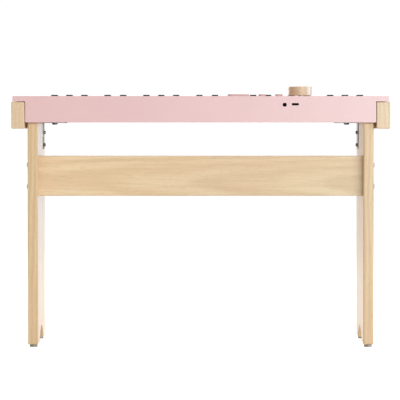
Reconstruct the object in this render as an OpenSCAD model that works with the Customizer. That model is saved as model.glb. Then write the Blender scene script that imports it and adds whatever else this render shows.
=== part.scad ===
// Children's digital piano with 44 keys on a wooden stand.
// Sizes are in millimetres. The origin lies on the floor under the middle of the piano.
// +Z is up, the player sits at -Y, and the treble end of the keyboard is at +X.

/* [Keyboard] */
// Number of white keys, counted up from an F
white_count = 26; // [22:1:26]
// Distance from one white key to the next
key_pitch = 23.5; // [22.5:0.1:24.5]
// Gap between two white keys
key_gap = 1; // [0.6:0.1:1.4]
// Gap between a black key and the white keys beside it
black_gap = 0.8; // [0.5:0.1:1.2]
// Distance from the hinge line to the front of a white key
white_reach = 173.5; // [165:0.5:185]
// Distance from the hinge line to the front of a black key
black_reach = 117.5; // [112:0.5:122]
// Distance from the hinge line to the back of a black key's cap
black_back = 22.5; // [20:0.5:26]
// Thickness of a key behind its head
key_h = 12; // [11:0.5:14]
// How far the head of a white key reaches below the rest of it
head_drop = 2; // [1:0.5:3]
// How far the top edge of a white key stands over its front face
head_nose = 1.5; // [0.5:0.5:2.5]
// Thickness of that top edge
head_nose_t = 4; // [2:0.5:6]
// Width of a black key where it leaves the white keys
black_w = 12; // [11.5:0.1:13]
// Width of a black key's top
black_top_w = 11; // [9:0.1:11.5]
// Height of a black key's top above the white keys
black_rise = 11.8; // [10:0.1:14]
// Length of the slope at a black key's front
black_slope = 8; // [4:0.5:12]
// How far a black key's top falls from its back to that slope
black_fall = 3; // [0:0.5:4]
// Sideways shift of the outer black keys in a group of three
three_shift = 3.2; // [2:0.1:4]
// Sideways shift of the black keys in a group of two
two_shift = 2.2; // [1:0.1:3]
// How far a key turns when it is pressed, in degrees
key_turn = 2.6; // [2:0.1:3]
// Radius of the round bar at a key's hinge end
trunnion_r = 4; // [3.5:0.1:4.5]
// Running clearance of that bar in its groove
hinge_clear = 0.1; // [0.05:0.01:0.1]
// Length of the thin neck in front of the hinge bar
neck_len = 12; // [10:0.5:14]
// Thickness of the neck
neck_h = 3; // [2.5:0.1:3.2]

/* [Case] */
// Height of the case
case_h = 46.5; // [45:0.5:52]
// Depth of the control panel behind the keys
panel_d = 88; // [86:1:110]
// Thickness of the control panel
panel_t = 3; // [2.5:0.1:4]
// Depth of the white keys' tops below the top of the case
white_below = 9; // [8:0.5:10]
// Gap between the black keys and the front edge of the panel
panel_gap = 1.5; // [1:0.1:2.5]
// Thickness of the lip at the panel's front edge
lip_t = 3; // [2:0.1:4]
// Gap between the white keys' tops and that lip
lip_gap = 1.5; // [1:0.1:2.5]
// Thickness of the side walls
side_t = 2.5; // [2:0.1:3.5]
// Thickness of the back wall
back_t = 3; // [2:0.1:4]
// Thickness of the key slip at the front
slip_t = 8; // [6:0.5:12]
// Depth of the key slip's top below the top of the case
slip_below = 18; // [14:0.5:22]
// Gap between the key slip and the white keys
slip_gap = 1.5; // [1:0.1:2.5]
// Gap between the end keys and the side walls, beside half a key gap
end_gap = 0.5; // [0.3:0.1:1]
// How far the top of the case stands out over the side walls
overhang = 22.5; // [18:0.5:28]
// Thickness of that overhang
overhang_t = 9.5; // [8:0.5:12]
// Thickness of the bottom cover
cover_t = 5; // [4:0.5:6]
// Clearance around the bottom cover
cover_gap = 0.3; // [0.2:0.1:0.6]
// Depth of the ledge that holds the front of the bottom cover
ledge_d = 4; // [3:0.5:5]
// Thickness of that ledge
ledge_t = 2; // [1.5:0.1:2.5]

/* [Stand] */
// Height of the foot pads
pad_h = 5; // [3:0.5:8]
// Diameter of the foot pads
pad_d = 14; // [10:0.5:17]
// Distance from the end of a leg to the middle of a foot pad
pad_inset = 16; // [12:0.5:24]
// Length of the legs
leg_len = 392; // [340:1:480]
// Thickness of the legs
leg_t = 18; // [15:0.5:25]
// Distance from the front and back of the case to the legs
leg_setback = 12; // [6:0.5:20]
// Distance from the sides of the case to the legs
leg_inset = 3.5; // [3:0.5:10]
// Width of the arch in a leg's foot
arch_w = 118; // [90:1:130]
// Height of that arch
arch_h = 27; // [18:0.5:40]
// Height of the stretcher board
stretcher_h = 71; // [60:0.5:90]
// Thickness of the stretcher board
stretcher_t = 18; // [15:0.5:25]
// Distance from the case down to the stretcher
stretcher_drop = 59; // [52:0.5:90]
// Distance from the back of the legs to the stretcher
stretcher_setback = 18; // [10:0.5:40]
// Width of the side rails
rail_w = 23.7; // [20:0.1:30]
// How far the side rails reach below the case
rail_drop = 11; // [6:0.5:20]
// Shadow gap around the side rails
rail_gap = 0.8; // [0.3:0.1:0.9]
// Distance from the ends of a leg to the ends of the rail's tongue that it stands against
tongue_setback = 32; // [20:1:60]
// Thickness of the leg brackets
bracket_t = 1.5; // [1.2:0.1:3]
// Width of the leg brackets
bracket_w = 44; // [36:1:50]
// Length of a bracket's arm along the leg
bracket_down = 49; // [46:1:52]
// Length of a bracket's arm along the case
bracket_in = 44; // [34:1:60]
// Corner radius at the ends of a bracket
bracket_r = 10; // [4:0.5:14]
// Distance from the front of a leg to its bracket
bracket_setback = 19; // [14:0.5:60]

/* [Controls] */
// Distance from the back of the case to the row of controls
control_setback = 44; // [40:0.5:48]
// Place of the volume knob along the case
knob_x = -175.7; // [-190:0.1:-170]
// Diameter of the volume knob
knob_d = 42; // [34:0.5:46]
// Height of the volume knob
knob_h = 15.9; // [12:0.1:20]
// Gap between the volume knob and the panel
knob_gap = 1; // [0.6:0.1:2]
// Diameter of the knob's spindle
spindle_d = 6; // [5:0.1:6.4]
// Place of the bar button along the case
bar_x = -66.9; // [-80:0.1:-50]
// Length of the bar button
bar_l = 38; // [30:0.5:44]
// Width of the bar button
bar_w = 13; // [10:0.5:14]
// Place of the first round button along the case
round_1_x = -109; // [-112:0.1:-106]
// Place of the second round button along the case
round_2_x = -138.5; // [-142:0.1:-134]
// Diameter of the round buttons
round_d = 13; // [10:0.5:14]
// Height of the buttons above the panel
button_rise = 3.4; // [2.4:0.1:4]
// How far a button travels
button_travel = 1.5; // [1:0.1:1.8]
// Clearance around a button in its hole
button_gap = 0.3; // [0.2:0.05:0.5]
// Width of the flange that keeps a button in its hole
button_flange = 1.2; // [0.8:0.1:1.6]
// Thickness of that flange
button_flange_t = 2; // [1.5:0.1:2.5]
// Diameter of the stem under a button
stem_d = 3.5; // [3:0.1:4]

/* [Sockets] */
// Place of the headphone socket along the case
jack_x = -147.6; // [-150:0.1:-120]
// Depth of the headphone socket's axis below the top of the case
jack_drop = 15.3; // [14.8:0.1:15.8]
// Diameter of the headphone socket's hole in the back wall
jack_hole_d = 7.4; // [6.5:0.1:8.4]
// Bore of the headphone socket
jack_bore_d = 3.6; // [3.5:0.05:3.8]
// Depth of that bore
jack_bore_l = 12; // [10:0.5:13]
// Place of the USB-C socket along the case
usb_x = -166.4; // [-185:0.1:-164]
// Depth of the USB-C socket's middle below the top of the case
usb_drop = 14.5; // [14:0.1:15]
// Width of the USB-C slot in the back wall
usb_w = 12.8; // [11:0.1:13]
// Height of that slot
usb_h = 4.3; // [4:0.1:5]

/* [Inside] */
// Wall thickness of the key frame
frame_t = 2.5; // [2:0.1:3]
// Width of the key frame's front channel
channel_w = 16; // [14:0.5:18]
// Width of the hinge rail
hinge_rail_w = 14; // [13:0.5:15]
// Size of a guide post across the key
post_w = 4.2; // [3:0.1:5]
// Size of a guide post along the key
post_d = 7; // [5:0.5:8]
// How far a guide post reaches into its key
post_in = 3.5; // [2:0.1:4]
// Side clearance between a guide post and its key
post_gap = 0.4; // [0.3:0.05:0.6]
// Distance from the front of a key to its guide post
post_setback = 15.5; // [13:0.5:17]
// Thickness of the circuit boards
board_t = 1.6; // [1.2:0.1:2]
// Distance from the hinge line to the contact board
contact_near = 56; // [50:0.5:58]
// Depth of the contact board
contact_d = 40; // [34:0.5:42]
// Height of the contact board above the key frame's deck
contact_rise = 7.5; // [6:0.1:8]
// Diameter of a rubber dome at its foot
dome_d = 9; // [7:0.5:10]
// Thickness of the rubber strip under the domes
dome_base_t = 1; // [0.8:0.1:1.5]
// Depth of the main board below the top of the case
board_below = 18; // [17.8:0.1:18.4]
// Diameter of a speaker
speaker_d = 48; // [40:0.5:50]
// Height of a speaker
speaker_h = 17; // [14:0.5:20]
// Distance from the side walls to a speaker's middle
speaker_inset = 61; // [45:1:90]
// Width of the speaker slots in the bottom cover
slot_w = 3; // [2:0.1:4]

/* [Fasteners] */
// Clearance around every screw in its hole
screw_gap = 0.1; // [0.06:0.01:0.15]
// Diameter of the stretcher bolts
bolt_d = 6; // [5:0.1:7]
// Length of the stretcher bolts
bolt_l = 50; // [35:1:60]
// Diameter of a stretcher bolt's head
bolt_head_d = 10; // [9:0.1:14]
// Height of a stretcher bolt's head
bolt_head_h = 3; // [1:0.1:4]
// Distance between the two stretcher bolts of one leg
bolt_pitch = 38; // [30:0.5:50]
// Diameter of the leg bracket screws
leg_screw_d = 3.5; // [3:0.1:5]
// Length of the leg bracket screws
leg_screw_l = 16; // [12:0.5:18]
// Diameter of a leg bracket screw's head
leg_screw_head_d = 6.6; // [6:0.1:9]
// Height of a leg bracket screw's head
leg_screw_head_h = 2.6; // [2:0.1:4]
// Distance from the case to the upper leg bracket screw
leg_screw_top = 19; // [14:0.5:20]
// Distance between the two leg bracket screws
leg_screw_pitch = 22.5; // [16:0.5:23]
// Diameter of the screws between the brackets and the case
case_screw_d = 5; // [4:0.1:6]
// Length of the screws between the brackets and the case
case_screw_l = 5.4; // [5:0.1:5.9]
// Diameter of a case screw's head
case_screw_head_d = 10.5; // [8:0.1:12]
// Height of a case screw's head
case_screw_head_h = 3.3; // [2.5:0.1:5]
// Distance from the leg to the case screw
case_screw_in = 20.8; // [18:0.1:28]
// Diameter of the small screws inside the case
small_screw_d = 3; // [2.5:0.1:3.2]
// Diameter of a small screw's head
small_head_d = 5.6; // [5:0.1:6.2]
// Height of a small screw's head
small_head_h = 1.8; // [1.5:0.1:2]
// Length of a small screw
small_screw_l = 10; // [8:0.5:10]

/* [Hidden] */
$fn = 48;
// Overlap that carries a cut past the face that it starts from
cut = 1;
// Gap left between pieces that only rest against each other
rest_gap = 0.3;
// Solder gap between a circuit board and what stands on it
solder = 0.1;

// Heights
case_z = pad_h + leg_len;
case_top = case_z + case_h;
panel_z = case_top - panel_t;
overhang_z = case_top - overhang_t;
cover_top = case_z + cover_t;
white_top = case_top - white_below;
black_top = white_top + black_rise;
hinge_z = white_top - key_h;
head_z = hinge_z - head_drop;
slip_top = case_top - slip_below;
rail_z = case_z - rail_drop;
rail_top = overhang_z - rail_gap;
button_top = case_top + button_rise;
board_top = case_top - board_below;
board_z = board_top - board_t;

// Depths, with the front of the case at the player's side
front_to_hinge = slip_t + slip_gap + white_reach;
case_d = front_to_hinge - black_back + panel_gap + panel_d;
front_y = -case_d / 2;
back_y = case_d / 2;
back_in_y = back_y - back_t;
hinge_y = front_y + front_to_hinge;
panel_y = hinge_y - black_back + panel_gap;
white_front_y = hinge_y - white_reach;
black_front_y = hinge_y - black_reach;
head_back_y = black_front_y - key_gap;
neck_y = hinge_y - neck_len;
control_y = back_y - control_setback;
leg_d = case_d - 2 * leg_setback;
leg_front_y = -leg_d / 2;
leg_back_y = leg_d / 2;
stretcher_y = leg_back_y - stretcher_setback - stretcher_t;

// Widths, measured from the middle of the piano
inner_x = white_count * key_pitch / 2 + end_gap;
body_x = inner_x + side_t;
overhang_x = body_x + overhang;
rail_x = body_x + rail_gap;
leg_out_x = body_x - leg_inset;
leg_in_x = leg_out_x - leg_t;

// Stretcher, arch and leg brackets
stretcher_top = case_z - stretcher_drop;
stretcher_mid = stretcher_top - stretcher_h / 2;
arch_r = (pow(arch_w / 2, 2) + pow(arch_h, 2)) / (2 * arch_h);
bolt_z = [for (side = [-1, 1]) stretcher_mid + side * bolt_pitch / 2];
bolt_y = stretcher_y + stretcher_t / 2;
bracket_y = leg_front_y + bracket_setback;
bracket_mid_y = bracket_y + bracket_w / 2;
leg_screw_z = [for (row = [0, 1]) case_z - leg_screw_top - row * leg_screw_pitch];
case_screw_x = leg_in_x - case_screw_in;

// Key frame
frame_x = inner_x - cover_gap;
guide_reach = white_reach - post_setback;
black_guide_reach = black_reach - post_setback;
channel_front = guide_reach + channel_w / 2;
deck_top = cover_top + frame_t;
contact_z = deck_top + contact_rise;
contact_top = contact_z + board_t;
contact_y = hinge_y - contact_near - contact_d;
dome_y = contact_y + contact_d / 2;
groove_r = trunnion_r + hinge_clear;
// Depth of the hinge rail's top below the hinge line
groove_lip = 0.8;
// Height of a point of a key when the key is pressed, by its reach and its depth below the hinge
function pressed_z(reach, below) = hinge_z - reach * sin(key_turn) - below * cos(key_turn);
channel_top = pressed_z(channel_front, head_drop) - rest_gap;
white_post_top = head_z + post_in;
black_post_top = hinge_z + post_in;
white_pocket_top = white_post_top + guide_reach * sin(key_turn) + 2 * rest_gap;
black_pocket_top = black_post_top + black_guide_reach * sin(key_turn) + 2 * rest_gap;
frame_screw_y = [hinge_y - guide_reach, hinge_y];
frame_boss_top = [channel_top - frame_t / 2, hinge_z - groove_r - 1.5 * frame_t];
// Place of the outer key frame screws, as a share of the frame's half length
frame_screw_share = 0.8;
frame_screw_x = [for (side = [-1, 0, 1]) side * frame_screw_share * frame_x];

// Keys: the white keys are numbered from 0 at the bass end, and a black key by the white key below it
function note(i) = (i + 3) % 7;
function has_black(i) = i >= 0 && i < white_count - 1 && note(i) != 2 && note(i) != 6;
function shift(i) = [-two_shift, two_shift, 0, -three_shift, 0, three_shift, 0][note(i)];
function white_x(i) = (i + 0.5 - white_count / 2) * key_pitch;
function black_x(i) = white_x(i) + key_pitch / 2 + shift(i);
black_side = black_w / 2 + black_gap;
head_half = (key_pitch - key_gap) / 2;
function tail_left(i) = has_black(i - 1) ? black_x(i - 1) + black_side : white_x(i) - head_half;
function tail_right(i) = has_black(i) ? black_x(i) - black_side : white_x(i) + head_half;
function tail_x(i) = (tail_left(i) + tail_right(i)) / 2;
blacks = [for (i = [0 : white_count - 1]) if (has_black(i)) i];
function two_digits(n) = n < 10 ? str("0", n) : str(n);
function white_name(i) = str("white_key_", two_digits(i + 1));
function black_name(k) = str("black_key_", two_digits(k + 1));

// Main board, its sockets and its fixings
// Margins of the main board beside the knob, beside the bar button and in front of the controls
board_knob_side = 4;
board_bar_side = 16;
board_front = 9;
board_x0 = knob_x - knob_d / 2 - board_knob_side;
board_x1 = bar_x + bar_l / 2 + board_bar_side;
board_y0 = control_y - board_front;
board_y1 = back_in_y - cut;
board_hole_inset = 6;
board_holes = [for (x = [board_x0 + board_hole_inset, board_x1 - board_hole_inset])
    for (y = [board_y0 + board_hole_inset, board_y1 - board_hole_inset]) [x, y]];
boss_d = 8;
part_z = board_top + solder;
jack_z = case_top - jack_drop;
usb_z = case_top - usb_drop;
// Width and height of a push switch, and the height of the floor of its hole
switch_w = 6.2;
switch_h = 7;
switch_floor_h = 4;
switch_top = board_top + switch_h;
switch_floor = board_top + switch_floor_h;
stem_z = switch_floor + button_travel + rest_gap;
flange_top = panel_z - rest_gap;
flange_z = flange_top - button_flange_t;
pot_top = panel_z - cut;
// Height of the spindle's lower end above the main board
spindle_rise = 2;
spindle_z = board_top + spindle_rise;
knob_z = case_top + knob_gap;

// Cover fixings and speakers
// Distance of the cover screws from the back wall, and of the outer ones from the side walls
cover_boss_in = 10;
end_boss_in = 21;
cover_boss_y = back_in_y - cover_boss_in;
end_boss_x = inner_x - end_boss_in;
cover_boss_x = [-end_boss_x, 0, end_boss_x / 2, end_boss_x];
speaker_x = inner_x - speaker_inset;
// Gap between a speaker and the back wall, and the sizes of the speaker's flange
speaker_back_gap = 2;
speaker_flange_t = 2;
speaker_rim_w = 6;
speaker_y = back_in_y - speaker_d / 2 - speaker_back_gap;
speaker_hole_r = speaker_d / 2 - speaker_rim_w / 2;
speaker_screw_l = speaker_flange_t + cover_t - cut;
// Place of the outer rail screws, as a share of the case's depth, and their height above the deck
rail_screw_share = 0.38;
rail_screw_rise = 4;
rail_screw_y = [for (row = [-1, 0, 1]) row * case_d * rail_screw_share];
rail_screw_z = deck_top + rail_screw_rise;

// Helpers

// A block between two places on each axis
module block(x, y, z) {
    translate([x[0], y[0], z[0]])
        cube([x[1] - x[0], y[1] - y[0], z[1] - z[0]]);
}

// A rectangle between two places on each axis
module area(x, y) {
    translate([x[0], y[0]])
        square([x[1] - x[0], y[1] - y[0]]);
}

// Draws its children and their mirror image at the other end of the piano
module both_ends() {
    children();
    mirror([1, 0, 0]) children();
}

// Extrudes an outline drawn in Y and Z along X
module along_x(x) {
    translate([x[0], 0, 0])
        rotate([90, 0, 90])
            linear_extrude(x[1] - x[0])
                children();
}

// Extrudes an outline drawn in X and Z along Y, from y[0] to y[1]
module along_y(y) {
    translate([0, y[1], 0])
        rotate([90, 0, 0])
            linear_extrude(y[1] - y[0])
                children();
}

// A bar outline with round ends, l long and w wide
module bar_outline(l, w) {
    square([l - w, w], center = true);
    for (side = [-1, 1])
        translate([side * (l - w) / 2, 0])
            circle(d = w);
}

// A pan head screw that points up: its head lies below zero
module pan_screw(d, l, head_d, head_h) {
    r = head_d / 2;
    edge_z = -0.45 * head_h;
    shoulder = [0.72 * r, -0.9 * head_h];
    crown_r = 0.4 * r;
    cylinder(d = d, h = l);
    rotate_extrude()
        polygon([[0, 0], [r, 0], [r, edge_z], shoulder, [crown_r, -head_h], [0, -head_h]]);
}

// The hole of a screw that points up
module screw_hole(d, l) {
    translate([0, 0, -cut])
        cylinder(d = d + 2 * screw_gap, h = l + cut);
}

// A small countersunk screw whose flat head lies at zero, pointing up
module flush_screw(grow = 0) {
    cylinder(d1 = small_head_d + 2 * grow, d2 = small_screw_d + 2 * grow, h = small_head_h);
    cylinder(d = small_screw_d + 2 * grow, h = small_screw_l + grow);
}

// Places that several pieces share

module at_bolts() {
    for (z = bolt_z)
        translate([leg_out_x, bolt_y, z])
            rotate([0, -90, 0])
                children();
}

module at_leg_screws() {
    for (z = leg_screw_z)
        translate([leg_in_x - bracket_t, bracket_mid_y, z])
            rotate([0, 90, 0])
                children();
}

module at_case_screws() {
    translate([case_screw_x, bracket_mid_y, case_z - bracket_t])
        children();
}

module at_rail_screws() {
    for (y = rail_screw_y)
        translate([inner_x, y, rail_screw_z])
            rotate([0, 90, 0])
                children();
}

module at_cover_screws() {
    for (x = cover_boss_x)
        translate([x, cover_boss_y, case_z])
            children();
}

module at_frame_screws() {
    for (x = frame_screw_x, y = frame_screw_y)
        translate([x, y, case_z])
            children();
}

module at_board_screws() {
    for (p = board_holes)
        translate([p[0], p[1], board_z])
            children();
}

module at_speakers() {
    for (side = [-1, 1])
        translate([side * speaker_x, speaker_y, cover_top])
            children();
}

module at_speaker_screws() {
    at_speakers()
        for (turn = [45 : 90 : 315])
            rotate(turn)
                translate([speaker_hole_r, 0, speaker_flange_t])
                    rotate([180, 0, 0])
                        children();
}

// Case

module top_case() {
    color([0.93, 0.79, 0.78])
        difference() {
            union() {
                both_ends() {
                    block([inner_x, overhang_x], [front_y, back_y], [overhang_z, case_top]);
                    block([inner_x, body_x], [front_y, back_y], [case_z, overhang_z]);
                }
                block([-body_x, body_x], [back_in_y, back_y], [case_z, case_top]);
                block([-overhang_x, overhang_x], [panel_y, back_y], [panel_z, case_top]);
                block([-body_x, body_x], [front_y, front_y + slip_t], [case_z, slip_top]);
                case_ribs();
                case_bosses();
            }
            at_cover_screws() screw_hole(small_screw_d, small_screw_l + cover_t);
            at_board_screws() screw_hole(small_screw_d, small_screw_l);
            both_ends() at_rail_screws() flush_screw(screw_gap);
            control_holes();
            socket_holes();
        }
}

// The lip at the panel's edge, the rib that holds the keys down, and the ledge for the bottom cover
module case_ribs() {
    wide = [-inner_x - side_t / 2, inner_x + side_t / 2];
    block(wide, [panel_y, panel_y + lip_t], [white_top + lip_gap, case_top - panel_t / 2]);
    block(wide, [hinge_y - lip_t / 2, hinge_y + lip_t / 2],
          [hinge_z + trunnion_r + rest_gap, case_top - panel_t / 2]);
    block(wide, [front_y + slip_t / 2, front_y + slip_t + ledge_d], [case_z, case_z + ledge_t]);
}

module case_bosses() {
    for (x = cover_boss_x)
        translate([x, cover_boss_y, cover_top])
            cylinder(d = boss_d, h = case_top - panel_t / 2 - cover_top);
    for (p = board_holes)
        translate([p[0], p[1], board_top])
            cylinder(d = boss_d, h = case_top - panel_t / 2 - board_top);
}

module control_holes() {
    translate([knob_x, control_y, panel_z - cut])
        cylinder(d = spindle_d + 4 * rest_gap, h = panel_t + 2 * cut);
    translate([bar_x, control_y, panel_z - cut])
        linear_extrude(panel_t + 2 * cut)
            bar_outline(bar_l + 2 * button_gap, bar_w + 2 * button_gap);
    for (x = [round_1_x, round_2_x])
        translate([x, control_y, panel_z - cut])
            cylinder(d = round_d + 2 * button_gap, h = panel_t + 2 * cut);
}

module socket_holes() {
    translate([jack_x, back_y + cut, jack_z])
        rotate([90, 0, 0])
            cylinder(d = jack_hole_d, h = back_t + 2 * cut);
    along_y([back_in_y - cut, back_y + cut])
        translate([usb_x, usb_z])
            bar_outline(usb_w, usb_h);
}

module bottom_cover() {
    reach = inner_x - cover_gap;
    ledge_y = front_y + slip_t;
    color([0.88, 0.74, 0.73])
        difference() {
            union() {
                block([-reach, reach], [ledge_y + ledge_d + cover_gap, back_in_y - cover_gap],
                      [case_z, cover_top]);
                block([-reach, reach], [ledge_y + cover_gap, ledge_y + 2 * ledge_d],
                      [case_z + ledge_t + cover_gap, cover_top]);
            }
            at_cover_screws() flush_screw(screw_gap);
            at_frame_screws() flush_screw(screw_gap);
            both_ends() at_case_screws() screw_hole(case_screw_d, case_screw_l + screw_gap);
            at_speaker_screws() screw_hole(small_screw_d, speaker_screw_l + screw_gap);
            at_speakers() speaker_slots();
        }
}

// A row of slots under a speaker, each as long as the speaker's opening lets it be
module speaker_slots() {
    opening_r = speaker_hole_r - small_head_d;
    pitch = 2.2 * slot_w;
    for (row = [-2 : 2]) {
        y = row * pitch;
        translate([0, y, -cover_t - cut])
            linear_extrude(cover_t + 2 * cut)
                bar_outline(2 * sqrt(pow(opening_r, 2) - pow(y, 2)), slot_w);
    }
}

// Stand

// A rail along each side of the case, with a tongue below the case that a leg stands against
module side_rails() {
    color([0.91, 0.8, 0.66])
        both_ends()
            difference() {
                union() {
                    block([rail_x, rail_x + rail_w], [front_y, back_y], [rail_z, rail_top]);
                    block([leg_out_x + rest_gap, rail_x + cut],
                          [leg_front_y + tongue_setback, leg_back_y - tongue_setback],
                          [rail_z, case_z - rest_gap]);
                }
                at_rail_screws() flush_screw(screw_gap);
            }
}

module legs() {
    color([0.88, 0.76, 0.6])
        both_ends()
            difference() {
                block([leg_in_x, leg_out_x], [leg_front_y, leg_back_y], [pad_h, case_z]);
                translate([leg_in_x - cut, 0, pad_h + arch_h - arch_r])
                    rotate([0, 90, 0])
                        cylinder(r = arch_r, h = leg_t + 2 * cut);
                at_bolts() screw_hole_through(bolt_d, leg_t);
                at_leg_screws() screw_hole(leg_screw_d, leg_screw_l + screw_gap);
            }
}

// A hole along -Z through a board of thickness t
module screw_hole_through(d, t) {
    translate([0, 0, -cut])
        cylinder(d = d + 2 * screw_gap, h = t + 2 * cut);
}

module stretcher() {
    color([0.91, 0.8, 0.64])
        difference() {
            block([-leg_in_x, leg_in_x], [stretcher_y, stretcher_y + stretcher_t],
                  [stretcher_top - stretcher_h, stretcher_top]);
            both_ends() at_bolts() screw_hole(bolt_d, bolt_l + screw_gap);
        }
}

module leg_brackets() {
    color([0.35, 0.34, 0.33])
        both_ends()
            difference() {
                union() {
                    translate([leg_in_x, bracket_mid_y, case_z])
                        rotate([0, -90, 0])
                            linear_extrude(bracket_t)
                                rotate(180)
                                    bracket_arm(bracket_down);
                    translate([leg_in_x, bracket_mid_y, case_z - bracket_t])
                        linear_extrude(bracket_t)
                            rotate(180)
                                bracket_arm(bracket_in);
                }
                at_leg_screws() screw_hole(leg_screw_d, leg_screw_l);
                at_case_screws() screw_hole(case_screw_d, case_screw_l);
            }
}

// One arm of a bracket, lying along +X, with two round corners at its far end
module bracket_arm(l) {
    half = bracket_w / 2;
    area([0, l - bracket_r], [-half, half]);
    area([0, l], [bracket_r - half, half - bracket_r]);
    for (side = [-1, 1])
        translate([l - bracket_r, side * (half - bracket_r)])
            circle(r = bracket_r);
}

module foot_pads() {
    color([0.24, 0.22, 0.19])
        both_ends()
            for (y = [leg_front_y + pad_inset, leg_back_y - pad_inset])
                translate([leg_in_x + leg_t / 2, y, 0])
                    cylinder(d = pad_d, h = pad_h);
}

// Every screw and bolt, each a solid of its own
module screws() {
    color([0.62, 0.62, 0.63]) {
        both_ends() {
            at_bolts() pan_screw(bolt_d, bolt_l, bolt_head_d, bolt_head_h);
            at_leg_screws() pan_screw(leg_screw_d, leg_screw_l, leg_screw_head_d, leg_screw_head_h);
            at_case_screws() pan_screw(case_screw_d, case_screw_l, case_screw_head_d, case_screw_head_h);
            at_rail_screws() flush_screw();
        }
        at_cover_screws() flush_screw();
        at_frame_screws() flush_screw();
        at_board_screws() pan_screw(small_screw_d, small_screw_l, small_head_d, small_head_h);
        at_speaker_screws()
            pan_screw(small_screw_d, speaker_screw_l, small_head_d, small_head_h);
    }
}

// Keys

// The thin neck and the round hinge bar at the back of a key
module key_hinge(x) {
    block(x, [neck_y - cut, hinge_y], [hinge_z, hinge_z + neck_h]);
    translate([x[0], hinge_y, hinge_z])
        rotate([0, 90, 0])
            cylinder(r = trunnion_r, h = x[1] - x[0]);
}

// The pocket in the underside of a key that its guide post stands in
module guide_pocket(x, reach, top) {
    half_x = post_w / 2 + post_gap;
    half_y = post_d / 2 + 2 * post_gap;
    y = hinge_y - reach;
    block([x - half_x, x + half_x], [y - half_y, y + half_y], [head_z - cut, top]);
}

module white_key(i) {
    tail = [tail_left(i), tail_right(i)];
    color([0.96, 0.96, 0.95])
        difference() {
            union() {
                along_x([white_x(i) - head_half, white_x(i) + head_half])
                    polygon([[white_front_y, white_top], [head_back_y, white_top], [head_back_y, head_z],
                             [white_front_y + head_nose, head_z],
                             [white_front_y + head_nose, white_top - head_nose_t],
                             [white_front_y, white_top - head_nose_t]]);
                block(tail, [head_back_y - cut, neck_y], [hinge_z, white_top]);
                key_hinge(tail);
            }
            guide_pocket(white_x(i), guide_reach, white_pocket_top);
        }
}

module black_key(i) {
    x = black_x(i);
    half = black_w / 2;
    top_half = black_top_w / 2;
    color([0.08, 0.08, 0.08])
        difference() {
            union() {
                intersection() {
                    along_x([x - half, x + half])
                        polygon([[black_front_y, hinge_z], [black_front_y, white_top],
                                 [black_front_y + black_slope, black_top - black_fall],
                                 [hinge_y - black_back, black_top], [hinge_y - black_back, white_top],
                                 [neck_y, white_top], [neck_y, hinge_z]]);
                    along_y([black_front_y, neck_y])
                        polygon([[x - half, hinge_z], [x - half, white_top], [x - top_half, black_top],
                                 [x + top_half, black_top], [x + half, white_top], [x + half, hinge_z]]);
                }
                key_hinge([x - half, x + half]);
            }
            guide_pocket(x, black_guide_reach, black_pocket_top);
        }
}

// Key frame and contacts

module key_frame() {
    color([0.75, 0.75, 0.74])
        difference() {
            union() {
                along_x([-frame_x, frame_x]) key_frame_outline();
                for (i = [0 : white_count - 1])
                    guide_post(white_x(i), guide_reach, white_post_top);
                for (i = blacks)
                    guide_post(black_x(i), black_guide_reach, black_post_top);
                for (x = frame_screw_x, row = [0, 1])
                    translate([x, frame_screw_y[row], cover_top])
                        cylinder(d = boss_d, h = frame_boss_top[row] - cover_top);
            }
            at_frame_screws() flush_screw(screw_gap);
        }
}

module key_frame_outline() {
    channel_y = hinge_y - channel_front;
    rail_y = hinge_y - hinge_rail_w / 2;
    rib_y = hinge_y - black_guide_reach;
    difference() {
        union() {
            area([channel_y, rail_y + hinge_rail_w], [cover_top, deck_top]);
            area([channel_y, channel_y + channel_w], [cover_top, channel_top]);
            area([rib_y - post_d / 2, rib_y + post_d / 2], [cover_top, contact_z]);
            for (y = [contact_y, contact_y + contact_d - frame_t])
                area([y, y + frame_t], [cover_top, contact_z]);
            area([rail_y, rail_y + hinge_rail_w], [cover_top, hinge_z - groove_lip]);
        }
        area([channel_y + frame_t, channel_y + channel_w - frame_t],
             [cover_top - cut, channel_top - frame_t]);
        area([rail_y + frame_t, rail_y + hinge_rail_w - frame_t],
             [cover_top - cut, hinge_z - groove_r - 2 * frame_t]);
        translate([hinge_y, hinge_z]) circle(r = groove_r);
    }
}

module guide_post(x, reach, top) {
    y = hinge_y - reach;
    block([x - post_w / 2, x + post_w / 2], [y - post_d / 2, y + post_d / 2], [contact_z - cut, top]);
}

module rubber_domes() {
    strip = contact_d / 2 - frame_t;
    color([0.85, 0.84, 0.82]) {
        block([-frame_x, frame_x], [dome_y - strip, dome_y + strip],
              [contact_top, contact_top + dome_base_t]);
        for (i = [0 : white_count - 1]) dome(tail_x(i));
        for (i = blacks) dome(black_x(i));
    }
}

// One dome: its cap stands just under its key
module dome(x) {
    foot = contact_top + dome_base_t / 2;
    h = hinge_z - rest_gap - foot;
    skirt_h = 0.6 * h;
    cap_r = 0.3 * dome_d;
    translate([x, dome_y, foot])
        rotate_extrude()
            polygon([[0, 0], [dome_d / 2, 0], [cap_r, skirt_h], [cap_r, h], [0, h]]);
}

// Circuit boards with what is soldered to them

module circuit_boards() {
    color([0.12, 0.32, 0.2]) {
        block([-frame_x, frame_x], [contact_y, contact_y + contact_d], [contact_z, contact_top]);
        difference() {
            block([board_x0, board_x1], [board_y0, board_y1], [board_z, board_top]);
            at_board_screws() screw_hole(small_screw_d, small_screw_l);
        }
        headphone_socket();
        usb_socket();
        volume_control();
        for (x = [bar_x, round_1_x, round_2_x]) push_switch(x);
    }
}

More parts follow.
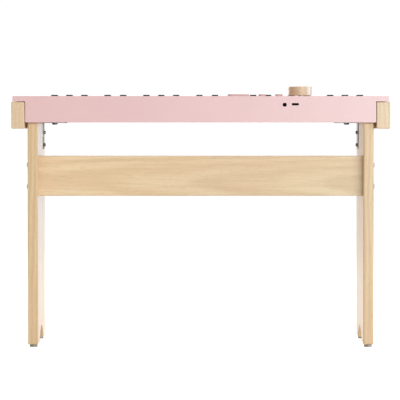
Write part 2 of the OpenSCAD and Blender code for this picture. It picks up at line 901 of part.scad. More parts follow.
module headphone_socket() {
    half = 3.2;
    length = jack_bore_l + 2;
    difference() {
        block([jack_x - half, jack_x + half], [back_in_y - length, back_in_y], [part_z, jack_z + half]);
        translate([jack_x, back_in_y + cut, jack_z])
            rotate([90, 0, 0])
                cylinder(d = jack_bore_d, h = jack_bore_l + cut);
    }
}

module usb_socket() {
    half = 5.2;
    length = 8.5;
    mouth_w = 8.4;
    mouth_h = 2.6;
    difference() {
        block([usb_x - half, usb_x + half], [back_in_y - length, back_in_y], [part_z, usb_z + mouth_h]);
        along_y([back_in_y - length + frame_t, back_in_y + cut])
            translate([usb_x, usb_z])
                bar_outline(mouth_w, mouth_h);
    }
}

module volume_control() {
    half = 6;
    body_h = 8;
    bush_t = 1.5;
    body_top = board_top + body_h;
    bush_d = spindle_d + 2 * bush_t;
    difference() {
        union() {
            block([knob_x - half, knob_x + half], [control_y - half, control_y + half], [part_z, body_top]);
            translate([knob_x, control_y, body_top - cut])
                cylinder(d = bush_d, h = pot_top - body_top + cut);
        }
        translate([knob_x, control_y, spindle_z - rest_gap])
            cylinder(d = spindle_d + 2 * hinge_clear, h = pot_top - spindle_z + cut);
    }
}

module push_switch(x) {
    half = switch_w / 2;
    difference() {
        block([x - half, x + half], [control_y - half, control_y + half], [part_z, switch_top]);
        translate([x, control_y, switch_floor])
            cylinder(d = stem_d + 2 * hinge_clear, h = switch_top - switch_floor + cut);
    }
}

module speakers() {
    r = speaker_d / 2;
    rim_r = r - speaker_rim_w;
    magnet_r = 0.6 * r;
    cone_h = 0.5 * speaker_h;
    dust_cap_h = 0.3 * speaker_h;
    color([0.2, 0.2, 0.21])
        difference() {
            at_speakers()
                rotate_extrude()
                    polygon([[0, dust_cap_h], [rim_r - cut, 0], [r, 0], [r, speaker_flange_t],
                             [rim_r, speaker_flange_t], [magnet_r, cone_h], [magnet_r, speaker_h],
                             [0, speaker_h]]);
            at_speaker_screws() screw_hole(small_screw_d, speaker_flange_t + cut);
        }
}

// Controls

module volume_knob() {
    grip_h = 0.6 * knob_h;
    grip_z = knob_z + grip_h;
    color([0.88, 0.78, 0.66])
        translate([knob_x, control_y, 0]) {
            difference() {
                translate([0, 0, knob_z]) cylinder(d = knob_d, h = knob_h);
                translate([0, 0, knob_z - cut])
                    cylinder(d = spindle_d + 2 * hinge_clear, h = grip_z - knob_z + cut + hinge_clear);
            }
            translate([0, 0, spindle_z]) cylinder(d = spindle_d, h = grip_z - spindle_z);
        }
}

// The stem that works a button's switch
module button_stem(x) {
    translate([x, control_y, stem_z])
        cylinder(d = stem_d, h = flange_top - stem_z);
}

module bar_button() {
    color([0.93, 0.79, 0.78]) {
        translate([bar_x, control_y, flange_z]) {
            linear_extrude(button_top - flange_z)
                bar_outline(bar_l, bar_w);
            linear_extrude(button_flange_t)
                bar_outline(bar_l + 2 * button_flange, bar_w + 2 * button_flange);
        }
        button_stem(bar_x);
    }
}

module round_button(x) {
    color([0.93, 0.79, 0.78]) {
        translate([x, control_y, flange_z]) {
            cylinder(d = round_d, h = button_top - flange_z);
            cylinder(d = round_d + 2 * button_flange, h = button_flange_t);
        }
        button_stem(x);
    }
}

top_case();
bottom_cover();
side_rails();
legs();
stretcher();
leg_brackets();
screws();
foot_pads();
key_frame();
rubber_domes();
circuit_boards();
speakers();
volume_knob();
bar_button();
round_button(round_1_x);  // round_button_1
round_button(round_2_x);  // round_button_2
for (i = [0 : white_count - 1])
    white_key(i);
for (k = [0 : len(blacks) - 1])
    black_key(blacks[k]);
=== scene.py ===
# %% [markdown]
# # A small digital piano on a wooden stand
# The piano is seen from behind: a pink case, two plank legs, a stretcher board, and a wooden knob on top.
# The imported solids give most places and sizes. This lesson dresses them: it eases the edges that a hand
# would feel, adds the screw drives that a solid model leaves out, and gives each surface its own finish.

# %% Load the frame
import math

import bmesh
import bpy
from mathutils import Matrix, Vector


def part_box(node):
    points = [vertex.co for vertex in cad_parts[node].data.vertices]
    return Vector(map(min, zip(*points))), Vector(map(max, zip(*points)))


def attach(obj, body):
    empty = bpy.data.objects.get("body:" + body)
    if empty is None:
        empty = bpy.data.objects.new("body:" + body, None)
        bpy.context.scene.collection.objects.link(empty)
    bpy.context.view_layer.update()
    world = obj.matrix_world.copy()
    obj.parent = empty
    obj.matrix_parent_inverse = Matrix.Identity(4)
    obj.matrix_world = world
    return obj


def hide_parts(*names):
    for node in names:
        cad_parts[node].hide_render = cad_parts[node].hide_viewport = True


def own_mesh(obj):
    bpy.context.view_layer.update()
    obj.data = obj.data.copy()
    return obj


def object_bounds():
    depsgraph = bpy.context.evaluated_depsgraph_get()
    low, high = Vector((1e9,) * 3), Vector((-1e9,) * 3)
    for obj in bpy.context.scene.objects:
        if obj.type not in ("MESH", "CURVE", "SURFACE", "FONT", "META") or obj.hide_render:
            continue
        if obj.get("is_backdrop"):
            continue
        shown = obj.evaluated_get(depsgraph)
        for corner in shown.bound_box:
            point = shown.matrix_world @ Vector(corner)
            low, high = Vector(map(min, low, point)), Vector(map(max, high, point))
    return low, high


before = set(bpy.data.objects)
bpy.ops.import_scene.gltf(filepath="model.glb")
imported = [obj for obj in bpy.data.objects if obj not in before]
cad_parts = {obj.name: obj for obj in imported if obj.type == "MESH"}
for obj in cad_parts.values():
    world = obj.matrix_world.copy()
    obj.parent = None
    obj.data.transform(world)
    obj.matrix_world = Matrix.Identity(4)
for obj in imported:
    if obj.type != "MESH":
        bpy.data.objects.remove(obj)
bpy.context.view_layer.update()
scene = bpy.context.scene

# %% [markdown]
# ## Camera
# The photograph looks straight at the back from about five metres with a long lens, so the legs' inner
# faces show only a little. The horizon lies above the middle of the picture. A small downward pitch gives
# that without a lens shift, which would follow the camera to every other view.

# %% Camera
CAMERA_ASIDE = 0.0012
CAMERA_BACK = 5.125
CAMERA_HEIGHT = 0.41
CAMERA_PITCH = math.radians(1.71)
LENS_MM = 256
SENSOR_MM = 36

lens = bpy.data.cameras.new("camera")
lens.lens = LENS_MM
lens.sensor_width = SENSOR_MM
camera = bpy.data.objects.new("camera", lens)
camera.location = (CAMERA_ASIDE, CAMERA_BACK, CAMERA_HEIGHT)
camera.rotation_euler = (math.pi / 2 - CAMERA_PITCH, 0, math.pi)
scene.collection.objects.link(camera)
scene.camera = camera
scene.view_settings.view_transform = "Standard"
print("camera:", tuple(round(v, 3) for v in camera.location))

# %% [markdown]
# ## Studio
# The light in the photograph comes from behind and a little from the bass end, the right of the picture:
# the case pales towards it, and the leg throws a soft shadow on the stretcher. One large softbox throws
# that shadow, where a bare lamp would draw it hard. Four weak ones leave no glare: they fill the inner
# face of the treble leg, the treble end, the stretcher beside that leg and the player's side.

# %% Softboxes
def softbox(name, place, aim, size, power):
    light = bpy.data.lights.new(name, "AREA")
    light.shape = "RECTANGLE"
    light.size, light.size_y = size
    light.energy = power
    lamp = bpy.data.objects.new(name, light)
    lamp.location = place
    lamp.rotation_euler = (Vector(aim) - Vector(place)).to_track_quat("-Z", "Y").to_euler()
    lamp.visible_camera = False
    scene.collection.objects.link(lamp)
    return lamp


softbox("softbox_back", (-3.6, 5.8, 1.5), (0, 0.1, 0.3), (5.0, 2.7), 246)
for name, place, aim, size, power in (
        ("fill_side", (-2.2, -0.2, 0.5), (0.28, 0.0, 0.25), (0.9, 0.9), 9),
        ("fill_treble", (1.3, 2.7, 0.9), (0.3, 0.1, 0.35), (1.0, 1.0), 5),
        ("fill_stretcher", (0.25, 0.36, 0.31), (0.275, 0.095, 0.305), (0.1, 0.1), 0.08),
        ("fill_player", (0.8, -1.9, 1.9), (0, 0, 0.4), (1.4, 1.0), 40)):
    softbox(name, place, aim, size, power).visible_glossy = False

# %% [markdown]
# ## Gloss lights
# Five more lights shine only in gloss: a card beside the camera pales the bass end, two strips whiten the
# sides of the knob, a low one those of the foot pads, and one the treble leg's inner face. Three of them
# are cool, since the photograph pales to white there and not to a lighter pink or tan. Stronger softboxes
# would wash out all that lies around these places. Light linking keeps the strips and the stretcher's
# fill off other pieces.

# %% Gloss lights
def shine_on(piece, *names):
    lit = bpy.data.collections.new("lit_" + piece.name)
    lit.objects.link(piece)
    for name in names:
        scene.objects[name].light_linking.receiver_collection = lit


for name, place, aim, size, power in (
        ("gloss_card", (-1.1, 5.0, 0.45), (-0.3, 0.1, 0.4), (0.8, 0.8), 60),
        ("gloss_strip_bass", (-1.6, -0.05, 0.55), (-0.15, 0.1, 0.46), (1.2, 0.3), 16),
        ("gloss_strip_treble", (1.0, -1.6, 0.6), (-0.15, 0.1, 0.46), (0.8, 0.3), 7),
        ("gloss_strip_floor", (-2.8, 1.3, 0.12), (0.0, 0.1, 0.0), (2.0, 0.2), 22),
        ("gloss_strip_leg", (-0.9, -2.5, 0.25), (0.287, 0.0, 0.2), (1.4, 0.7), 3)):
    softbox(name, place, aim, size, power).visible_diffuse = False
for name, tint in (("gloss_card", (0.75, 1.05, 1.05)), ("gloss_strip_bass", (0.72, 1.08, 1.35)),
                   ("gloss_strip_leg", (0.6, 1.0, 1.4))):
    scene.objects[name].data.color = tint

# %% [markdown]
# ## Helpers for nodes
# Every finish is a tree of nodes. Wired one by one, each would fill a page, so small helpers add a node
# with its settings, feed its sockets and link it. Each recipe below then reads as a list of what the
# surface does. A Mix node has sockets for numbers, vectors and colours side by side, and those for
# colours go by their places.

# %% Node helpers
MIX_SHARE, MIX_FIRST, MIX_SECOND = 0, 6, 7
MIX_RESULT = 2


def feed(tree, socket, value):
    if isinstance(value, bpy.types.NodeSocket):
        tree.links.new(value, socket)
    else:
        socket.default_value = value


def add(tree, kind, inputs=None, **settings):
    node = tree.nodes.new("ShaderNode" + kind)
    for key, value in settings.items():
        setattr(node, key, value)
    for socket, value in (inputs or {}).items():
        feed(tree, node.inputs[socket], value)
    return node


def mix_colour(tree, share, first, second):
    node = add(tree, "Mix", {MIX_SHARE: share}, data_type="RGBA")
    feed(tree, node.inputs[MIX_FIRST], first)
    feed(tree, node.inputs[MIX_SECOND], second)
    return node.outputs[MIX_RESULT]


def spread(tree, value, low, high, to_low, to_high):
    node = add(tree, "MapRange", {"Value": value, "From Min": low, "From Max": high,
                                  "To Min": to_low, "To Max": to_high})
    return node.outputs["Result"]


print("node helpers:", [helper.__name__ for helper in (feed, add, mix_colour, spread)])

# %% [markdown]
# ## Helpers for materials
# A finish starts from a Principled shader. A pattern that several finishes share is a node group with
# named sockets, built once and placed in each of them with its own values. A bump node tilts the light on
# a surface without any new faces, which suits grain that is finer than a hair.

# %% Material helpers
def new_group(name, inputs, outputs):
    group = bpy.data.node_groups.new(name, "ShaderNodeTree")
    for label, kind, value in inputs:
        socket = group.interface.new_socket(label, in_out="INPUT", socket_type=kind)
        if value is not None:
            socket.default_value = value
    for label in outputs:
        group.interface.new_socket(label, in_out="OUTPUT", socket_type="NodeSocketFloat")
    return group, group.nodes.new("NodeGroupInput"), group.nodes.new("NodeGroupOutput")


def place_group(tree, group, vector, **values):
    node = add(tree, "Group", node_tree=group)
    tree.links.new(vector, node.inputs["Vector"])
    for label, value in values.items():
        node.inputs[label].default_value = value
    return node


def shader(name, colour, roughness, sockets=None):
    material = bpy.data.materials.new(name)
    material.use_nodes = True
    tree = material.node_tree
    bsdf = tree.nodes["Principled BSDF"]
    bsdf.inputs["Base Color"].default_value = (*colour, 1)
    bsdf.inputs["Roughness"].default_value = roughness
    for socket, value in (sockets or {}).items():
        bsdf.inputs[socket].default_value = value
    return material, tree, bsdf


def bump(tree, bsdf, height, strength, distance):
    node = add(tree, "Bump", {"Height": height, "Strength": strength, "Distance": distance})
    tree.links.new(node.outputs["Normal"], bsdf.inputs["Normal"])


print("material helpers:", [helper.__name__ for helper in (new_group, place_group, shader, bump)])

# %% [markdown]
# ## World and floor
# The studio is white: the camera and every gloss see it bright, while its fill light leaves shade in the
# corners. One even white would fill them. A Light Path node tells which ray asks: the camera and the
# glossy rays get the full white, all other rays the weaker fill. The floor is one large square.

# %% World and floor
WHITE = (1.04, 1.04, 1.04, 1)
FILL = (0.42, 0.42, 0.42, 1)
FLOOR_HALF = 30


def by_ray(tree, bright, other):
    ray = add(tree, "LightPath").outputs
    seen = add(tree, "Math", {0: ray["Is Camera Ray"], 1: ray["Is Glossy Ray"]}, operation="MAXIMUM")
    return mix_colour(tree, seen.outputs["Value"], other, bright)


world = bpy.data.worlds.new("studio")
scene.world = world
world.use_nodes = True
sky = world.node_tree
sky.links.new(by_ray(sky, WHITE, FILL), sky.nodes["Background"].inputs["Color"])

floor_mesh = bpy.data.meshes.new("floor")
bm = bmesh.new()
bmesh.ops.create_grid(bm, x_segments=1, y_segments=1, size=FLOOR_HALF)
bm.to_mesh(floor_mesh)
bm.free()
floor = bpy.data.objects.new("floor", floor_mesh)
scene.collection.objects.link(floor)
floor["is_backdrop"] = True
print("floor:", tuple(round(v) for v in floor.dimensions))

# %% [markdown]
# ## Wood figure
# A board shows the growth rings of the tree that it was sawn from. The rings are nested tubes around the
# pith, and a flat cut through them makes long pointed arches. Painted streaks would not meet at the edges
# of a board. A Wave texture in ring form around the grain axis, set a few centimetres off the board and
# swayed by slow noise, gives the same arches on every face, and arcs on the ends. Stretched noise adds
# fibres, and a second, shorter one the small flecks of maple.

# %% Wood figure group
wood_figure, inlet, outlet = new_group(
    "wood_figure",
    [("Vector", "NodeSocketVector", None), ("Rings", "NodeSocketFloat", 30.0),
     ("Fibres", "NodeSocketFloat", 260.0), ("Sway", "NodeSocketFloat", 0.02)],
    ["Figure", "Fibre", "Patch", "Fleck"])
slow = add(wood_figure, "Mapping", {"Vector": inlet.outputs["Vector"], "Scale": (0.35, 1, 1)})
sway = add(wood_figure, "TexNoise", {"Vector": slow.outputs["Vector"], "Scale": 9.0, "Detail": 2.0})
centred = add(wood_figure, "VectorMath", {0: sway.outputs["Color"], 1: (0.5, 0.5, 0.5)},
              operation="SUBTRACT")
swing = add(wood_figure, "VectorMath", {0: centred.outputs["Vector"], "Scale": inlet.outputs["Sway"]},
            operation="SCALE")
swayed = add(wood_figure, "VectorMath", {0: inlet.outputs["Vector"], 1: swing.outputs["Vector"]},
             operation="ADD").outputs["Vector"]
rings = add(wood_figure, "TexWave", {"Vector": swayed, "Scale": inlet.outputs["Rings"], "Distortion": 1.6,
                                     "Detail": 3.0, "Detail Scale": 0.4, "Detail Roughness": 0.6},
            wave_type="RINGS", rings_direction="X", wave_profile="SIN")
along = add(wood_figure, "Mapping", {"Vector": swayed, "Scale": (0.025, 1, 1)})
fibre = add(wood_figure, "TexNoise", {"Vector": along.outputs["Vector"], "Scale": inlet.outputs["Fibres"],
                                      "Detail": 4.0, "Roughness": 0.62})
broad = add(wood_figure, "Mapping", {"Vector": swayed, "Scale": (0.22, 1, 1)})
patch = add(wood_figure, "TexNoise", {"Vector": broad.outputs["Vector"], "Scale": 26.0, "Detail": 2.5})
short = add(wood_figure, "Mapping", {"Vector": swayed, "Scale": (0.09, 1, 1)})
flecks = add(wood_figure, "TexNoise", {"Vector": short.outputs["Vector"], "Scale": 900.0, "Detail": 1.0})
for label, value in (("Figure", rings.outputs["Fac"]), ("Fibre", fibre.outputs["Fac"]),
                     ("Patch", patch.outputs["Fac"]),
                     ("Fleck", spread(wood_figure, flecks.outputs["Fac"], 0.6, 0.72, 0.0, 1.0))):
    wood_figure.links.new(value, outlet.inputs[label])
print("group:", wood_figure.name, "nodes:", len(wood_figure.nodes))

# %% [markdown]
# ## Maple
# The stand is pale maple under a clear satin lacquer. One recipe serves every board: only the grain
# direction, the place of the pith and the shade change. The colour mixes a light and a darker tone by
# ring, shifts to a warmer tone in broad patches, darkens along the fibres and gets small dark flecks. The
# knob is waxed instead of lacquered, which shows as a soft pale sheen on its sides.

# %% Maple
LACQUER = {"Specular IOR Level": 0.2, "Coat Weight": 0.65, "Coat Roughness": 0.34}
WAX = {"Specular IOR Level": 0.2, "Coat Weight": 0.8, "Coat Roughness": 0.5, "Coat IOR": 1.8,
       "Sheen Weight": 0.6, "Sheen Roughness": 0.4}
WOOD_ROUGHNESS = 0.45
FIBRE_STRENGTH = 0.12
FIBRE_HEIGHT = 0.0004


def maple(name, turn, pith, light, dark, warm, rings=30.0, sway=0.02, finish=LACQUER):
    material, tree, bsdf = shader(name, light, WOOD_ROUGHNESS, finish)
    coords = add(tree, "TexCoord").outputs["Object"]
    grain = add(tree, "Mapping", {"Vector": coords, "Rotation": turn, "Location": pith})
    figure = place_group(tree, wood_figure, grain.outputs["Vector"], Rings=rings, Sway=sway)
    fleck = tuple(0.6 * c for c in dark)
    colour = (*light, 1)
    for output, low, high, most, tone in (
            ("Figure", 0.15, 1.0, 0.55, dark), ("Patch", 0.36, 0.66, 0.7, warm),
            ("Fibre", 0.42, 0.8, 0.55, dark), ("Fleck", 0.0, 1.0, 0.25, fleck)):
        share = spread(tree, figure.outputs[output], low, high, 0.0, most)
        colour = mix_colour(tree, share, colour, (*tone, 1))
    tree.links.new(colour, bsdf.inputs["Base Color"])
    rough = spread(tree, figure.outputs["Fibre"], 0.3, 0.8, 0.38, 0.54)
    tree.links.new(rough, bsdf.inputs["Roughness"])
    bump(tree, bsdf, figure.outputs["Fibre"], FIBRE_STRENGTH, FIBRE_HEIGHT)
    return material


maple_stretcher = maple("maple_stretcher", (0, math.radians(1.0), math.radians(1.5)), (0.1, -0.03, -0.29),
                        (0.74, 0.56, 0.335), (0.56, 0.375, 0.185), (0.72, 0.49, 0.285),
                        rings=46.0, sway=0.014)
maple_legs = maple("maple_legs", (0, math.radians(91.0), math.radians(1.5)), (0, 0.02, 0.02),
                   (0.73, 0.54, 0.31), (0.56, 0.37, 0.175), (0.72, 0.475, 0.265), rings=40.0)
maple_rails = maple("maple_rails", (0, 0, -math.pi / 2), (0, 0.03, -0.412),
                    (0.76, 0.58, 0.37), (0.6, 0.42, 0.225), (0.75, 0.53, 0.34), rings=44.0)
maple_knob = maple("maple_knob", (0, 0, math.radians(20)), (0, -0.1, -0.41),
                   (0.63, 0.44, 0.25), (0.5, 0.32, 0.16), (0.61, 0.405, 0.225), rings=60.0, finish=WAX)
print("woods:", [m.name for m in bpy.data.materials if m.name.startswith("maple")])

# %% [markdown]
# ## Moulded plastic
# A moulded part is never quite even: its colour drifts a little, and its mould leaves a fine grain that
# blurs reflections. A single flat colour would look like paint on glass. The group gives a slow tone and
# a fine grain, and each plastic or rubber sets how much it takes of them.

# %% Moulded grain group
moulded_grain, inlet, outlet = new_group(
    "moulded_grain",
    [("Vector", "NodeSocketVector", None), ("Grain", "NodeSocketFloat", 2200.0)],
    ["Tone", "Pits", "Grain Height"])
tone = add(moulded_grain, "TexNoise", {"Vector": inlet.outputs["Vector"], "Scale": 7.0, "Detail": 3.0})
fine = add(moulded_grain, "TexNoise", {"Vector": inlet.outputs["Vector"], "Scale": inlet.outputs["Grain"],
                                       "Detail": 2.0})
pits = add(moulded_grain, "TexVoronoi", {"Vector": inlet.outputs["Vector"],
                                         "Scale": inlet.outputs["Grain"]})
for label, value in (("Tone", tone.outputs["Fac"]), ("Pits", pits.outputs["Distance"]),
                     ("Grain Height", fine.outputs["Fac"])):
    moulded_grain.links.new(value, outlet.inputs[label])
print("group:", moulded_grain.name, "nodes:", len(moulded_grain.nodes))

# %% [markdown]
# The case is satin pink, the white keys are glossy and the black ones nearly matt. One function makes
# them all. Its arguments are the colour, the roughness, the share by which the colour drifts, how many
# grains lie in a metre and how high they stand.

# %% Plastics and rubbers
ROUGH_DRIFT = 0.04
GRAIN_STRENGTH = 0.1


def moulded(name, colour, roughness, drift, grain, height, sockets=None):
    material, tree, bsdf = shader(name, colour, roughness, sockets)
    coords = add(tree, "TexCoord").outputs["Object"]
    surface = place_group(tree, moulded_grain, coords, Grain=grain)
    share = spread(tree, surface.outputs["Tone"], 0.3, 0.7, 0.0, 1.0)
    darker = tuple(c * (1 - drift) for c in colour)
    tree.links.new(mix_colour(tree, share, (*colour, 1), (*darker, 1)), bsdf.inputs["Base Color"])
    rough = spread(tree, surface.outputs["Pits"], 0.0, 0.8,
                   roughness - ROUGH_DRIFT, roughness + ROUGH_DRIFT)
    tree.links.new(rough, bsdf.inputs["Roughness"])
    bump(tree, bsdf, surface.outputs["Grain Height"], GRAIN_STRENGTH, height)
    return material


pink_plastic = moulded("pink_plastic", (0.74, 0.46, 0.455), 0.36, 0.03, 2600.0, 0.0001,
                       {"Specular IOR Level": 0.8})
pink_button = moulded("pink_button", (0.66, 0.43, 0.42), 0.5, 0.04, 2000.0, 0.0001)
pink_cover = moulded("pink_cover", (0.72, 0.5, 0.495), 0.55, 0.04, 1800.0, 0.0002)
ivory_white = moulded("ivory_white", (0.86, 0.86, 0.84), 0.2, 0.02, 900.0, 0.00003, {"Coat Weight": 0.25})
satin_black = moulded("satin_black", (0.006, 0.006, 0.006), 0.56, 0.3, 1600.0, 0.00008,
                      {"Specular IOR Level": 0.25})
grey_frame = moulded("grey_frame", (0.5, 0.5, 0.49), 0.55, 0.06, 1500.0, 0.0002)
pad_rubber = moulded("pad_rubber", (0.2, 0.17, 0.115), 0.5, 0.35, 1400.0, 0.0004,
                     {"Coat Weight": 1.0, "Coat Roughness": 0.45, "Coat IOR": 1.7})
dome_rubber = moulded("dome_rubber", (0.6, 0.59, 0.57), 0.7, 0.05, 1200.0, 0.0001)
socket_black = moulded("socket_black", (0.006, 0.005, 0.005), 0.6, 0.3, 1800.0, 0.0001,
                       {"Specular IOR Level": 0.2})
board_green = moulded("board_green", (0.02, 0.1, 0.04), 0.4, 0.35, 700.0, 0.0001)
print("plastics:", pink_plastic.name, ivory_white.name, satin_black.name, "rubbers:", pad_rubber.name)

# %% [markdown]
# The floor has to meet the white backdrop with no line, and still take a soft shade under the feet. A
# brighter light on it would also brighten the piano from below. So the floor glows, but only for the
# camera and for gloss, by the same question to the ray as in the world.

# %% Studio floor
FLOOR_GLOW = (0.68, 0.68, 0.68, 1)
NO_GLOW = (0, 0, 0, 1)
studio_floor = moulded("studio_floor", (0.85, 0.85, 0.85), 0.7, 0.01, 60.0, 0.0001,
                       {"Specular IOR Level": 0.0})
floor_tree = studio_floor.node_tree
floor_shader = floor_tree.nodes["Principled BSDF"]
floor_shader.inputs["Emission Strength"].default_value = 1.0
floor_tree.links.new(by_ray(floor_tree, FLOOR_GLOW, NO_GLOW), floor_shader.inputs["Emission Color"])
floor.data.materials.append(studio_floor)
print("floor finish:", studio_floor.name)

# %% [markdown]
# ## Steel
# Screws, brackets and the can of the volume control are drawn or stamped steel. Its marks run one way,
# and even noise would look cast instead. So the group stretches its noise along an axis. A second noise,
# slow and even, gives the stains that no plated part is free of.

# %% Drawn steel group
drawn_steel, inlet, outlet = new_group(
    "drawn_steel",
    [("Vector", "NodeSocketVector", None), ("Marks", "NodeSocketFloat", 1500.0)],
    ["Mark", "Stain"])
stretch = add(drawn_steel, "Mapping", {"Vector": inlet.outputs["Vector"], "Scale": (1, 0.06, 1)})
marks = add(drawn_steel, "TexNoise", {"Vector": stretch.outputs["Vector"], "Scale": inlet.outputs["Marks"],
                                      "Detail": 3.0})
stain = add(drawn_steel, "TexNoise", {"Vector": inlet.outputs["Vector"], "Scale": 60.0, "Detail": 4.0})
drawn_steel.links.new(marks.outputs["Fac"], outlet.inputs["Mark"])
drawn_steel.links.new(stain.outputs["Fac"], outlet.inputs["Stain"])
print("group:", drawn_steel.name, "nodes:", len(drawn_steel.nodes))

# %% [markdown]
# The leg brackets have a dark coat, their screws are blued and all other screws zinc plated. The marks
# drive both the roughness and a slight bump, and the stains mix a bright and a dull tone. Plain numbers
# would do for a screw head of a few pixels, but the same steels also have to bear a close look.

# %% Steels
SMOOTHER, ROUGHER = 0.08, 0.1
MARK_STRENGTH = 0.08
MARK_HEIGHT = 0.0001


def steel(name, bright, dull, metallic, roughness):
    material, tree, bsdf = shader(name, bright, roughness, {"Metallic": metallic})
    coords = add(tree, "TexCoord").outputs["Object"]
    surface = place_group(tree, drawn_steel, coords)
    share = spread(tree, surface.outputs["Stain"], 0.35, 0.7, 0.0, 1.0)
    tree.links.new(mix_colour(tree, share, (*bright, 1), (*dull, 1)), bsdf.inputs["Base Color"])
    rough = spread(tree, surface.outputs["Mark"], 0.3, 0.7, roughness - SMOOTHER, roughness + ROUGHER)
    tree.links.new(rough, bsdf.inputs["Roughness"])
    bump(tree, bsdf, surface.outputs["Mark"], MARK_STRENGTH, MARK_HEIGHT)
    return material


zinc_steel = steel("zinc_steel", (0.36, 0.36, 0.365), (0.27, 0.27, 0.27), 1.0, 0.36)
dark_steel = steel("dark_steel", (0.1, 0.097, 0.094), (0.08, 0.077, 0.075), 1.0, 0.18)
blued_steel = steel("blued_steel", (0.2, 0.195, 0.195), (0.14, 0.14, 0.14), 0.9, 0.4)
tin_plate = steel("tin_plate", (0.3, 0.3, 0.3), (0.2, 0.2, 0.2), 1.0, 0.3)
speaker_black = steel("speaker_black", (0.03, 0.03, 0.03), (0.02, 0.02, 0.02), 0.3, 0.5)
print("steels:", zinc_steel.name, dark_steel.name, blued_steel.name)

# %% [markdown]
# ## Helpers for pieces
# A solid from the frame has dead sharp edges, which no moulded, sawn or stamped part has. A bevel
# modifier would round the facets of holes too. So a copy of the mesh is merged, its flat faces are joined
# again, and those of its sharp edges that are long enough get a small round. The same finishing step
# makes an object of any mesh: it sits at the origin, rides on its body and stands for its solid.

# %% Piece helpers
MERGE = 1e-6
FLAT = math.radians(0.4)
SHARP = math.radians(40)
CREASE = math.radians(38)


def cad_copy(node):
    bm = bmesh.new()
    bm.from_mesh(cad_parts[node].data)
    bmesh.ops.remove_doubles(bm, verts=bm.verts, dist=MERGE)
    bmesh.ops.dissolve_limit(bm, angle_limit=FLAT, verts=bm.verts, edges=bm.edges)
    return bm


def ease(bm, width, segments=3, longer_than=0.0):
    edges = [edge for edge in bm.edges if edge.is_manifold and edge.calc_face_angle() > SHARP
             and edge.calc_length() > longer_than]
    bmesh.ops.bevel(bm, geom=edges, offset=width, offset_type="OFFSET", segments=segments, profile=0.5,
                    affect="EDGES", material=-1, clamp_overlap=True)
    return len(edges)


def finish_piece(bm, name, materials, body, slot, *nodes):
    mesh = bpy.data.meshes.new(name)
    bm.to_mesh(mesh)
    bm.free()
    for material in materials:
        mesh.materials.append(material)
    mesh.shade_smooth()
    mesh.set_sharp_from_angle(angle=CREASE)
    piece = bpy.data.objects.new(name, mesh)
    scene.collection.objects.link(piece)
    even = piece.modifiers.new("even_normals", "WEIGHTED_NORMAL")
    even.keep_sharp = True
    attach(piece, body)
    if nodes:
        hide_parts(*nodes)
    return piece


print("piece helpers:", [helper.__name__ for helper in (cad_copy, ease, finish_piece)])

# %% [markdown]
# ## Legs
# Each leg is one plank with an arch cut out of its foot. A boolean cut would leave a ragged mesh there.
# Instead, a vertex spun about the arch's centre draws the arc, a few more vertices close the outline, and
# the filled face is extruded to the plank's thickness. The edges get the two millimetre round of a router
# bit, which catches the light along the plank.

# %% Leg planks
LEG_THICK = 0.018
LEG_ROUND = 0.0021
ARCH_HALF = 0.059
ARCH_HIGH = 0.027
ARCH_STEPS = 36
leg_low, leg_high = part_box("legs")


def leg_plank(name, x):
    radius = (ARCH_HALF ** 2 + ARCH_HIGH ** 2) / (2 * ARCH_HIGH)
    centre = Vector((x, 0, leg_low.z + ARCH_HIGH - radius))
    bm = bmesh.new()
    start = bm.verts.new((x, -ARCH_HALF, leg_low.z))
    bmesh.ops.spin(bm, geom=[start], cent=centre, axis=(-1, 0, 0), steps=ARCH_STEPS,
                   angle=2 * math.asin(ARCH_HALF / radius))
    arc = sorted(bm.verts, key=lambda v: v.co.y)
    corners = [bm.verts.new((x, y, z)) for y, z in (
        (leg_high.y, leg_low.z), (leg_high.y, leg_high.z), (leg_low.y, leg_high.z), (leg_low.y, leg_low.z))]
    for one, other in zip([arc[-1], *corners], [*corners, arc[0]]):
        bm.edges.new((one, other))
    bmesh.ops.contextual_create(bm, geom=list(bm.edges))
    grown = bmesh.ops.extrude_face_region(bm, geom=list(bm.faces))["geom"]
    far_side = [v for v in grown if isinstance(v, bmesh.types.BMVert)]
    bmesh.ops.translate(bm, vec=(LEG_THICK, 0, 0), verts=far_side)
    bmesh.ops.recalc_face_normals(bm, faces=bm.faces)
    ease(bm, LEG_ROUND, segments=4)
    return finish_piece(bm, name, [maple_legs], "cabinet", "maple", "legs")


leg_treble = leg_plank("leg_treble", leg_high.x - LEG_THICK)
leg_plank("leg_bass", leg_low.x)
shine_on(leg_treble, "gloss_strip_leg")
print("leg faces:", len(leg_treble.data.polygons))

# %% [markdown]
# ## Stretcher
# A straight board starts as a cube scaled to the solid's box. The stretcher butts against the legs, so
# its ends are sawn square and only its long edges are eased, where they let a thin light run along the
# board.

# %% Stretcher
STRETCHER_ROUND = 0.0007
LONG_EDGE = 0.1


def board(low, high, round_over, segments=4, longer_than=0.0):
    bm = bmesh.new()
    bmesh.ops.create_cube(bm, size=1)
    bmesh.ops.scale(bm, vec=high - low, verts=bm.verts)
    bmesh.ops.translate(bm, vec=(low + high) / 2, verts=bm.verts)
    ease(bm, round_over, segments, longer_than)
    return bm


cross_low, cross_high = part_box("stretcher")
bm = board(cross_low, cross_high, STRETCHER_ROUND, longer_than=LONG_EDGE)
stretcher_board = finish_piece(bm, "stretcher_board", [maple_stretcher], "cabinet", "maple", "stretcher")
shine_on(stretcher_board, "fill_stretcher")
print("stretcher length:", round(cross_high.x - cross_low.x, 4))

# %% [markdown]
# ## Side rails
# A wooden bar lies under each end of the case. Its rounded edges make the shadow line between rail and
# case. A thin tongue runs along its inner side, between the rail and the leg. Both tongues are one mesh,
# because they are strips of the same kind that nobody handles apart.

# %% Side rails
RAIL_WIDE = 0.0237
RAIL_ROUND = 0.0018
TONGUE_SETBACK = 0.032
TONGUE_WIDE = 0.004
TONGUE_ROUND = 0.0004
TONGUE_CLEAR = 0.0003


